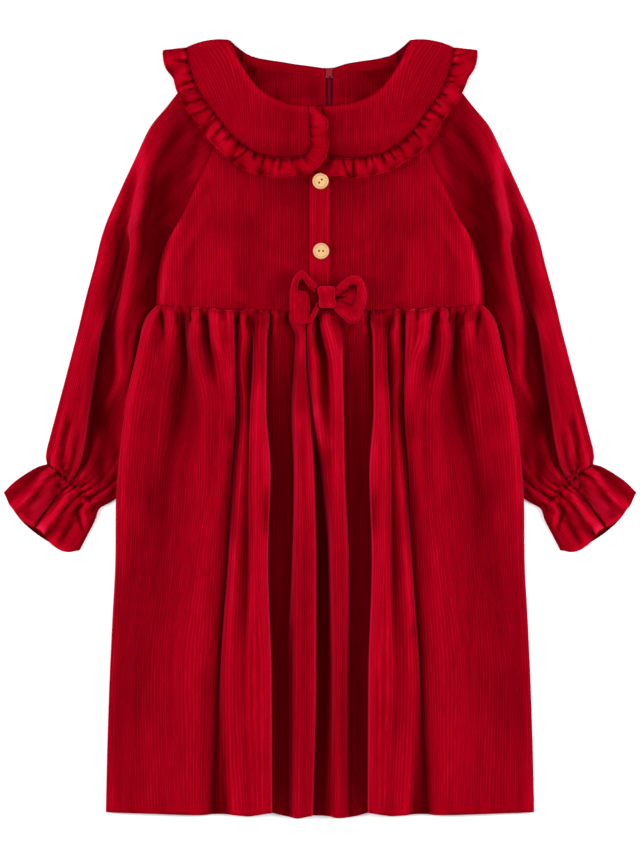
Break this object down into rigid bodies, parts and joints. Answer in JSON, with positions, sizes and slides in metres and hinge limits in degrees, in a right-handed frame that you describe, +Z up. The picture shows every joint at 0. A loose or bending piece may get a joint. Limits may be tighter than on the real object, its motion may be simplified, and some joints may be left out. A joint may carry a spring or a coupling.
{
  "type": "midi dress",
  "caption": "Child's long-sleeved velvet midi dress laid flat, with a frilled round collar, buttoned placket, bow and gathered skirt; the back zip's pull tab swings.",
  "frame": {"origin": "middle of the dress's box seen from above, on the surface that it lies on", "axes": "+X to the wearer's left, +Y from hem to neck, +Z up, out of the front of the dress"},
  "size_m": [0.5888, 0.7224, 0.0253],
  "materials": {
    "velvet": "crimson ribbed velvet, fine wales along the grain, pile that darkens in the folds",
    "facing": "the same velvet, turned in and stitched at the back neck",
    "button_wood": "pale turned wood, satin, with a darker grain",
    "zip_tape": "dark red woven polyester tape",
    "zip_coil": "dark red nylon coil, slightly shiny",
    "zip_metal": "dull red lacquer on metal"
  },
  "bodies": {
    "dress": {"front_bodice": "velvet", "placket": "velvet", "front_skirt": "velvet", "back_skirt": "velvet", "back_bodice_right": "velvet", "back_bodice_left": "velvet", "sleeve_right": "velvet", "sleeve_left": "velvet", "collar_right": "velvet", "collar_left": "velvet", "collar_frill_right": "velvet", "collar_frill_left": "velvet", "neck_facing_right": "facing", "neck_facing_left": "facing", "button_top": "button_wood", "button_bottom": "button_wood", "bow_loop_right": "velvet", "bow_loop_left": "velvet", "bow_knot": "velvet", "zip_tape": "zip_tape", "zip_coil": "zip_coil", "zip_slider": "zip_metal"},
    "pull_tab": {"zip_pull_tab": "zip_metal"}
  },
  "joints": [
    {"name": "zip_pull_swing", "type": "hinge", "parent": "dress", "child": "pull_tab", "pos_m": [0.0086, 0.3312, 0.002], "axis": [1, 0, 0], "range_deg": [0, 170]}
  ]
}
